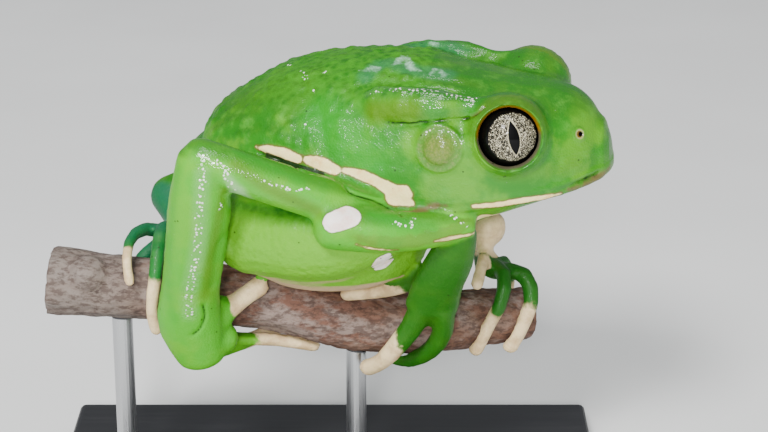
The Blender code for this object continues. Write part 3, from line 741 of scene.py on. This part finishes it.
# Painted shade: the dark gap between the side line and the thigh, drawn on whichever skin shows there
SIDE_GAP_SHADE = ((266, 155), (284, 162), (302, 168), (322, 174))
SIDE_GAP_SHADE_HALF = 0.30
GROOVES = (
    (((385, 84), (405, 81), (435, 80), (462, 84)), 0.20, 1.2),
    (((296, 82), (308, 96), (317, 108), (321, 128), (324, 152)), 0.38, 2.2),
    (((232, 200), (222, 240), (214, 285)), 0.25, 1.4),
)
GLINT_ROWS = (
    # rows of painted highlights (pale glints) on raised grains along the ridges, and how far they scatter
    (((204, 161), (201, 198), (198, 228), (198, 247), (193, 276), (189, 294), (189, 315)), 0.95),
    (((219, 162), (228, 178), (233, 192), (221, 206)), 0.9),
    (((372, 92), (398, 90), (428, 90), (450, 94), (474, 99)), 0.75),
    (((262, 180), (290, 189), (312, 187)), 0.45),
    (((420, 140), (426, 133), (436, 128)), 0.35),
    (((396, 222), (408, 226), (416, 220)), 0.8),
    (((452, 216), (466, 226)), 0.5),
    (((288, 66), (290, 64)), 0.7),
    (((302, 72), (306, 78)), 0.7),
    (((325, 72), (327, 75)), 0.7),
    (((312, 88), (313, 90)), 0.6),
    (((304, 122), (306, 123)), 0.6),
    (((500, 150), (508, 164)), 0.25),
)
WET = (
    (((204, 161), (201, 198), (198, 247), (189, 294), (189, 315)), 2.2),
    (((369, 93), (398, 91), (428, 91), (450, 95), (476, 99)), 1.6),
    (((400, 222), (430, 226), (455, 222)), 1.4),
)
SHINE_PATCHES = (
    # painted highlights: patches of pale sheen behind the lobe
    (((359, 71), (363, 72)), 1.0),
    (((370, 69), (374, 72), (377, 68)), 1.5),
    (((396, 64), (404, 57), (410, 66), (417, 70)), 1.6),
    (((432, 73), (438, 70), (444, 75)), 1.3),
)
PUCKER = ((((366, 76), (385, 63), (405, 68), (425, 72), (447, 74)), 3.0),)
OLIVE = (
    # run, reach, share
    (((374, 111), (392, 112), (412, 111)), 3.4, 1.0),
    (((236, 166), (262, 184), (289, 198), (318, 212)), 2.0, 0.8),
    (((225, 190), (216, 230), (208, 268), (205, 296)), 1.8, 0.7),
    (((352, 236), (372, 246)), 1.6, 0.5),
)
WARM = (
    (((500, 176), (540, 172), (575, 164)), 2.4, 0.6),
    (((396, 78), (440, 76), (480, 86)), 1.6, 0.7),
    (((244, 100), (280, 84), (306, 78)), 6.5, 0.9),
)
EMERALD = (
    (((322, 116), (345, 138), (366, 162)), 6.5, 0.9),
    (((374, 214), (402, 224), (432, 230)), 2.6, 0.7),
    (((178, 168), (172, 220), (168, 280), (174, 320)), 2.0, 0.5),
    (((236, 152), (262, 163), (300, 182)), 1.6, 0.5),
)
CREAM_DIGITS = (
    # runs down the digits in pose millimetres, from where the green ends
    (((3.6, -7.6, -8.4), (0.0, -5.0, -10.4), (-5.8, -3.2, -11.6)), (1.0, 1.9, 1.9)),
    (((3.2, -8.4, -15.6), (1.2, -7.4, -19.0), (-0.6, -5.4, -22.2), (-2.6, -2.8, -24.2)),
     (1.0, 1.9, 1.9, 1.9)),
    (((15.6, 3.4, -8.4), (15.2, 1.6, -9.0), (14.4, -1.8, -10.6)), (1.0, 1.5, 1.6)),
    (((17.7, -1.1, -14.8), (16.4, -1.2, -17.6), (14.4, -0.6, -22.0)), (1.0, 1.8, 1.8)),
    (((23.1, 1.2, -14.6), (22.0, 0.8, -18.0), (19.9, 1.4, -22.4)), (0.8, 1.8, 1.8)),
    (((20.2, 12.3, -14.4), (19.8, 12.5, -19.2)), (0.8, 1.8)),
    (((-24.0, -8.6, -12.2), (-21.2, -7.4, -10.3), (-18.9, -6.6, -8.9)), (1.4, 2.3, 2.3)),
    (((-21.0, -2.8, -19.4), (-17.2, -0.6, -20.4), (-11.0, 0.6, -21.7)), (0.8, 1.9, 1.9)),
    (((-23.0, -2.0, -20.4), (-20.0, 0.8, -20.6), (-16.4, 4.0, -19.8)), (0.8, 2.0, 2.0)),
    (((-26.6, -0.6, -20.0), (-25.6, 2.2, -19.6), (-24.2, 5.6, -16.8)), (0.8, 2.0, 2.0)),
    (((-31.0, -0.6, -19.0), (-31.2, 1.6, -18.6), (-31.4, 5.4, -15.8)), (0.8, 1.9, 1.9)),
    (((-39.0, -3.0, -4.1), (-39.2, -5.2, -5.2), (-38.7, -6.8, -8.2)), (0.6, 1.6, 1.6)),
    (((-34.8, -6.0, -6.4), (-35.2, -7.2, -10.2), (-35.5, -7.0, -13.2), (-35.0, -5.9, -16.3)),
     (0.6, 1.9, 1.9, 1.9)),
    (((-39.0, 7.0, -11.0), (-40.2, 6.4, -12.8)), (0.8, 1.8)),
    (((-36.3, 6.6, -14.2), (-36.8, 5.8, -16.2)), (0.8, 1.8)),
    (((-33.2, 7.1, -13.2), (-33.6, 6.6, -14.6)), (0.8, 1.8)),
    (((-34.2, -9.6, -11.5), (-33.3, -8.6, -16.0), (-31.2, -7.6, -20.6)), (0.3, 0.9, 0.5)),
)
SKIN_MASKS = ("line", "spot", "worn", "cream", "web", "lid", "lid_top", "drum", "speckled", "nostril",
              "hole", "mouth", "fold", "pale", "yellow", "olive", "warm", "emerald", "belly", "far_limb_shade",
              "deep", "crown", "under", "wet", "glint_rows", "shine_patch", "pucker", "granular")


def eye_frame(side):
    centre = head_at(EYE_AHEAD[side], side * EYE_ASIDE, EYE_ABOVE)
    look = HEAD_AXES @ Vector((math.sin(EYE_TURN_FORWARD), side * math.cos(EYE_TURN_FORWARD),
                               math.tan(EYE_TURN_UP)))
    return centre, look.normalized()


def round_eye(points, side):
    """Offset of each point from the eye's centre, its height along the gaze and how far off it."""
    centre, look = eye_frame(side)
    away = points - np.array(centre)
    height = away @ np.array(look)
    across = np.sqrt(np.maximum(np.sum(away * away, axis=1) - height ** 2, 0))
    return away, height, across


def shape_lids(points, side):
    """Draws the rims of the lids in to the eyeball and rounds them."""
    away, height, across = round_eye(points, side)
    dist = np.linalg.norm(away, axis=1)
    ball = EYE_RADIUS + 0.10
    # keep all skin in front of the eyeball outside it
    front = (height > 0.6) & (dist < ball + 1.6) & (across < 5.6)
    want = np.where(front & (dist < ball), ball, dist)
    # rim: pull towards the ball where the lid ends
    near_rim = front * bell(np.abs(across - 4.5), 0.9) * bell(np.abs(height - 2.3), 1.3)
    want = want - np.maximum(want - ball - 0.05, 0) * near_rim * 0.75
    return points + away * (want / np.maximum(dist, 1e-6) - 1)[:, None]


def nearest_on(points, place):
    """The point of the skin nearest to a place."""
    return points[np.argmin(np.linalg.norm(points - np.array(place), axis=1))]


def mirrored_head(points):
    """The same points on the other side of the head."""
    out = []
    for p in points:
        local = HEAD_AXES.transposed() @ (Vector(p) - HEAD_ORIGIN)
        out.append(head_at(local.x, -local.y, local.z))
    return out


def signed_gap(points, tree, runs, mirror):
    """Distance in mm of each point to the edge of the runs drawn in the photograph, on both sides."""
    gap = np.full(len(points), FAR)
    for pixels, widths in runs:
        seen = on_skin(tree, pixels)
        if len(seen) < 2:
            continue
        sides = [seen, mirror(seen)] if mirror else [seen]
        for path in sides:
            curve = smooth_path(path)
            gap = np.minimum(gap, distance_to_path(points, curve, along(widths, len(curve))))
    return gap


def stepped_gap(points, tree, pixels, steps=90):
    """Distance to a run that steps from one limb to another, on both sides."""
    place = np.linspace(0, len(pixels) - 1, steps)
    line = [np.interp(place, np.arange(len(pixels)), axis) for axis in np.array(pixels, dtype=float).T]
    seen = on_skin(tree, zip(*line))
    gap = np.full(len(points), FAR)
    for spot in seen + mirrored(seen):
        gap = np.minimum(gap, np.linalg.norm(points - np.array(spot), axis=1))
    return gap


def run_gap(points, tree, pixels):
    """Distance to the middle of a run drawn in the photograph, on both sides."""
    return signed_gap(points, tree, ((pixels, (0.0, 0.0)),), mirrored)


def run_share(points, tree, runs):
    """1 on the runs drawn in the photograph, falling to 0 at each run's reach, on both sides."""
    share = np.zeros(len(points))
    for pixels, reach in runs:
        share = np.maximum(share, bell(run_gap(points, tree, pixels), reach))
    return share


def mouth_curve():
    """Line between the lips, as in part.py."""
    side = [(-12.0, 13.3), (-8.0, 13.0), (-3.5, 12.4), (0.8, 11.3), (4.2, 9.8), (7.2, 7.8), (9.6, 5.6),
            (11.3, 2.7), (12.0, 0.0)]

    def at(ahead, left):
        share = (ahead + MOUTH_REACH) / (2 * MOUTH_REACH)
        return head_at(ahead, left, MOUTH_BACK + (MOUTH_FRONT - MOUTH_BACK) * share)

    return smooth_path([at(a, -w) for a, w in side] + [at(a, w) for a, w in side[-2::-1]], 6)


def drum_gap(points):
    """Distance from the edge of the tympanum, on both sides of the head."""
    gap = np.full(len(points), FAR)
    for side in (-1, 1):
        centre = np.array(nearest_on(points, head_at(-10.4, side * 13.2, 8.0)))
        gap = np.minimum(gap, np.linalg.norm(points - centre, axis=1) - DRUM_RADIUS)
    return gap


def blend_zone(points):
    """Where the head's added forms run out into the skull, which is smoothed more: 0 to 1."""
    zone = 0.5 * bell(np.abs(drum_gap(points)), 1.2)
    for side in (-1, 1):
        away, height, across = round_eye(points, side)
        above = away @ np.array(HEAD_AXES.col[2])
        ring = bell(np.abs(across - 7.4), 2.6) * (height > -5.0) * (1 - 0.75 * np.clip(above / 4.0, 0, 1))
        zone = np.maximum(zone, ring)
        nose = np.linalg.norm(points - np.array(head_at(9.8, side * 6.0, 7.2)), axis=1)
        zone = np.maximum(zone, bell(nose, 3.0))
    return zone


def crease_zone(points, names, edges):
    """The roots of the thighs and upper arms, where belly and limb run into each other: 0 to 1."""
    limb = spread(np.isin(names, ["thigh_right", "thigh_left", "upper_arm_right", "upper_arm_left"])
                  .astype(float), edges, 14)
    trunk = spread((names == "torso").astype(float), edges, 14)
    return np.clip(4 * limb * trunk, 0, 1) * np.clip((4.0 - points[:, 2]) / 4.0, 0, 1)


def smooth_skin(points, names, edges):
    """Smooths the trunk much, the digits and the head less, and the places where forms meet most."""
    thin = np.isin(names, ["hand_right", "hand_left", "foot_right", "foot_left"])
    weight = spread(np.where(thin, 0.7, np.where(names == "head", 0.6, 1.0)), edges, 6)
    points = relax(points, edges, SKIN_ROUNDS, weight)
    points = relax_region(points, edges, CREASE_ROUNDS, crease_zone(points, names, edges))
    points = relax(points, edges, 3, weight, keep_volume=False)
    return relax_region(points, edges, BLEND_ROUNDS, blend_zone(points))


def carve_folds(points, tree):
    """Narrow folds and wide soft grooves: how far they lift the skin, and the distance to the painted shade
    of the folds and of the gap under the side line.
    """
    lift = np.zeros(len(points))
    fold = stepped_gap(points, tree, SIDE_GAP_SHADE) - SIDE_GAP_SHADE_HALF
    for runs in (FOLDS, GROOVES):
        for pixels, depth, width in runs:
            gap = run_gap(points, tree, pixels)
            lift -= depth * bell(gap, width)
            if runs is FOLDS:
                fold = np.minimum(fold, gap)
    return lift, fold


def carve_face(points):
    """Mouth, nostrils, drums and eye folds: how far they lift the skin, and the distances to them."""
    # mouth line: from one corner round the snout to the other
    mouth = distance_to_path(points, mouth_curve())
    lift = LIP_RISE * bell(np.abs(mouth - 0.75), 0.6) - MOUTH_DEPTH * bell(mouth, 0.42)

    # nostrils: a hole towards the snout in a low ringed pit; the hole's distance also places the painted
    # shade inside it
    nostril, hole = np.full(len(points), FAR), np.full(len(points), FAR)
    for side in (-1, 1):
        place = nearest_on(points, head_at(9.9, side * 6.2, 7.2))
        pit = nearest_on(points, head_at(9.6, side * 6.4, 7.2))
        hole = np.minimum(hole, np.linalg.norm(points - place, axis=1))
        nostril = np.minimum(nostril, np.linalg.norm(points - pit, axis=1))
    lift += 0.12 * bell(np.abs(nostril - 0.8), 0.5) - NOSTRIL_DEPTH * bell(hole, 0.5)

    # tympanum: a raised rim round a taut, sunken skin
    drum = drum_gap(points)
    lift += DRUM_RIM * bell(np.abs(drum), 0.55) - DRUM_SINK * bell(np.abs(drum + 0.9), 0.9)

    # soft folds of skin round the eye
    for side in (-1, 1):
        away, height, across = round_eye(points, side)
        below = np.clip(-(away @ np.array(HEAD_AXES.col[2])) / 3.0 + 0.6, 0, 1)
        lift -= 0.07 * bell(np.abs(across - 6.6), 0.6) * (height > -2.5) * below
    return lift, {"mouth": mouth, "nostril": nostril, "hole": hole, "drum": drum}


def raise_warts(points, names, edges, pucker):
    """Warts of the back, larger on top, none on the head and limbs, and the puckered patch."""
    trunk = spread((names == "torso").astype(float), edges, 10)
    top = np.clip((points[:, 2] - 10.0) / 6.0, 0, 1)
    bumps = np.array([noise.voronoi(Vector(p / WART_SPACING))[0][0] for p in points])
    waves = np.array([noise.noise(Vector(p / 3.2)) for p in points])
    puckers = np.array([noise.noise(Vector((p[0] / 1.5, p[1] / 2.2, p[2] / 1.5))) for p in points])
    return trunk * (WART_HEIGHT * bell(bumps, 0.60) * top + 0.05 * waves + PUCKER_HEIGHT * puckers * pucker)


def build_skin():
    skin = make_skin_mesh()
    refine_head(skin)
    mesh = skin.data
    edges = edges_of(mesh)
    origin = np.array(POSE_ORIGIN)
    names = np.array(FLESH)[nearest_node(points_of(mesh))]

    # shrink back to the nodes' size, smooth, and close the lids on the eyes
    points = (points_of(mesh) - origin) / MM - normals_of(mesh) * SKIN_SWELL
    points = smooth_skin(points, names, edges)
    for side in (-1, 1):
        points = shape_lids(points, side)
    set_points(mesh, points * MM + origin)

    # relief, measured on the smooth skin
    tree = surface_tree(mesh)
    fold_lift, fold = carve_folds(points, tree)
    face_lift, masks = carve_face(points)
    pucker = run_share(points, tree, PUCKER)
    wart_lift = raise_warts(points, names, edges, pucker)
    masks.update(fold=fold, pucker=pucker)
    points = points + normals_of(mesh) * (fold_lift + face_lift + wart_lift)[:, None]
    set_points(mesh, points * MM + origin)
    write_masks(mesh, points, names, edges, tree, masks)

    # fewer triangles where the skin is flat; the masks are carried along
    triangles = sum(len(polygon.vertices) - 2 for polygon in mesh.polygons)
    apply_modifier(skin, "DECIMATE", ratio=SKIN_TRIANGLES / triangles)
    skin.data.materials.clear()
    skin.data.materials.append(frog_skin())
    activate(skin)
    bpy.ops.object.shade_smooth()
    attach(skin, "root")
    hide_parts(*FLESH)


def lid_gap(points):
    """Distance from the rims of the lids, which lie on the front of the eyeballs."""
    gap = np.full(len(points), FAR)
    for side in (-1, 1):
        away, height, _ = round_eye(points, side)
        rim = np.linalg.norm(away, axis=1) - EYE_RADIUS - 0.12
        gap = np.minimum(gap, np.where(height > 0.8, rim, FAR))
    return gap


def cream_gap(points, names, edges):
    """Distance from the cream skin of the digits and the far wrist; the rest of the body is far off."""
    wrist = np.array([(16.8, 6.6, -3.4), (16.4, 6.4, -5.8)])
    gap = distance_to_path(points, wrist) - 3.6
    for run, widths in CREAM_DIGITS:
        curve = smooth_path(run, 4)
        gap = np.minimum(gap, distance_to_path(points, curve, along(widths, len(curve))))
    digits = np.isin(names, ["hand_right", "hand_left", "foot_right", "foot_left", "forearm_left"])
    return gap + 5.0 * (1 - spread(digits.astype(float), edges, 4))


def write_masks(mesh, points, names, edges, tree, masks):
    """Numbers on the skin that its material reads: distances in millimetres or shares of 1."""
    ups = normals_of(mesh)[:, 2]
    masks["line"] = np.minimum(signed_gap(points, tree, SIDE_LINE, mirrored),
                               signed_gap(points, tree, LOWER_LIP + THROAT_EDGE, mirrored_head))
    masks["line"] = np.minimum(masks["line"], signed_gap(points, tree, ARM_EDGE, None))
    masks["spot"] = signed_gap(points, tree, SPOTS, mirrored)
    masks["worn"] = np.minimum(signed_gap(points, tree, WORN_TAIL, mirrored),
                               signed_gap(points, tree, WORN_LIP, mirrored_head))
    masks["speckled"] = signed_gap(points, tree, DIRTY_ARM, mirrored)
    masks["web"] = signed_gap(points, tree, WEB, mirrored)

    masks["lid"] = lid_gap(points)
    local = (points - np.array(HEAD_ORIGIN)) @ np.array(HEAD_AXES)
    masks["lid_top"] = np.clip((local[:, 2] - EYE_ABOVE) / 2.0, 0, 1)
    # painted shade: the more the skin faces up, the darker it is painted
    masks["crown"] = np.clip((ups - 0.35) / 0.4, 0, 1)

    masks["cream"] = cream_gap(points, names, edges)

    def part(*nodes):
        return spread(np.isin(names, nodes).astype(float), edges, 8)

    x, y, z = points.T
    masks["belly"] = part("torso", "thigh_right", "thigh_left") * np.clip((7.0 - z) / 4.0, 0, 1)
    masks["under"] = part("torso") * np.clip((-ups - 0.62) / 0.2, 0, 1) * (z < 0)
    masks["pale"] = 0.9 * part("shank_right", "foot_right", "forearm_right")
    masks["yellow"] = np.clip((x - 24.0) / 8.0, 0, 1) * part("head") * np.clip((17.0 - z) / 8.0, 0.2, 1) * 0.8
    masks["deep"] = part("hand_right", "hand_left")
    # painted shade on the far limbs, more towards the far side
    masks["far_limb_shade"] = part("foot_left") * np.clip((y + 8.0) / 8.0, 0.5, 1) + 0.6 * part("hand_left")
    body = spread(np.where(np.isin(names, ["torso", "thigh_right"]), 1.0, 0.15), edges, 6)
    flank = bell(np.abs(z - 14.0), 13.0)
    masks["granular"] = body * (1 - 0.85 * flank)
    moist = HEAD_WET * spread(part("head", "shank_right"), edges, 50)
    masks["wet"] = np.maximum(run_share(points, tree, WET), moist)
    # where the painted highlights (glints) and their raised grains go
    masks["glint_rows"] = run_share(points, tree, GLINT_ROWS)
    # where the painted sheen patches go
    masks["shine_patch"] = run_share(points, tree, SHINE_PATCHES)
    for name, runs in (("olive", OLIVE), ("warm", WARM), ("emerald", EMERALD)):
        masks[name] = np.zeros(len(points))
        for pixels, reach, share in runs:
            tint = share * bell(run_gap(points, tree, pixels), reach)
            masks[name] = np.maximum(masks[name], tint)
    for name, values in masks.items():
        layer = mesh.attributes.new(name, "FLOAT", "POINT")
        layer.data.foreach_set("value", np.asarray(values, dtype=np.float32))


# Eyes, branch and stand

def make_eye(tag, side):
    centre, look = eye_frame(side)
    deselect()
    bpy.ops.mesh.primitive_uv_sphere_add(segments=64, ring_count=40, radius=EYE_RADIUS * MM,
                                         location=(0, 0, 0))
    eye = bpy.context.object
    eye.name = "eyeball_" + tag
    turn = Vector((0, 0, 1)).rotation_difference(look).to_matrix().to_4x4()
    eye.data.transform(Matrix.Translation(in_row(centre)) @ turn)
    up = HEAD_AXES @ Vector((-0.06, 0, 1))
    # the iris looks a little further forward than the lids open
    gaze = Quaternion(up, side * -IRIS_TURN) @ look
    eye.data.materials.append(eye_glaze("wet_eye_" + tag, in_row(centre), gaze, up))
    bpy.ops.object.shade_smooth()
    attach(eye, "root")
    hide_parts("eye_" + tag)


def make_branch():
    branch = copy_of("perch", "bark_branch")
    activate(branch)
    bpy.ops.object.mode_set(mode="EDIT")
    bpy.ops.mesh.select_all(action="SELECT")
    bpy.ops.mesh.remove_doubles(threshold=0.002 * MM)
    bpy.ops.object.mode_set(mode="OBJECT")
    apply_modifier(branch, "REMESH", mode="VOXEL", voxel_size=BARK_VOXEL * MM, adaptivity=0.0)
    mesh = branch.data
    edges = edges_of(mesh)
    points = points_of(mesh) / MM
    points = relax(points, edges, 24, np.ones(len(points)))
    set_points(mesh, points * MM)
    normals = normals_of(mesh)
    lift = np.array([BARK_RELIEF * noise.fractal(Vector((p[0] / 7.0, p[1] / 2.6, p[2] / 2.6)), 0.9, 2.1, 5)
                     + 0.16 * noise.noise(Vector((p[0] / 1.6, p[1] / 0.9, p[2] / 0.9))) for p in points])
    lift = np.clip(lift - 0.12, -0.5, 0.12)
    points = points + normals * lift[:, None]
    set_points(mesh, points * MM)
    mesh.materials.clear()
    mesh.materials.append(branch_bark())
    activate(branch)
    bpy.ops.object.shade_smooth()
    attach(branch, "root")
    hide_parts("perch")


def finish_stand():
    lacquer, steel = stand_lacquer(), rod_steel()
    for name, finish in (("stand_base", lacquer), ("stand_rod_front", steel), ("stand_rod_rear", steel)):
        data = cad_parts[name].data
        data.materials.clear()
        data.materials.append(finish)


make_camera()
make_floor()
make_light()
build_skin()
for eye_tag, eye_side in (("right", -1), ("left", 1)):
    make_eye(eye_tag, eye_side)
make_branch()
finish_stand()
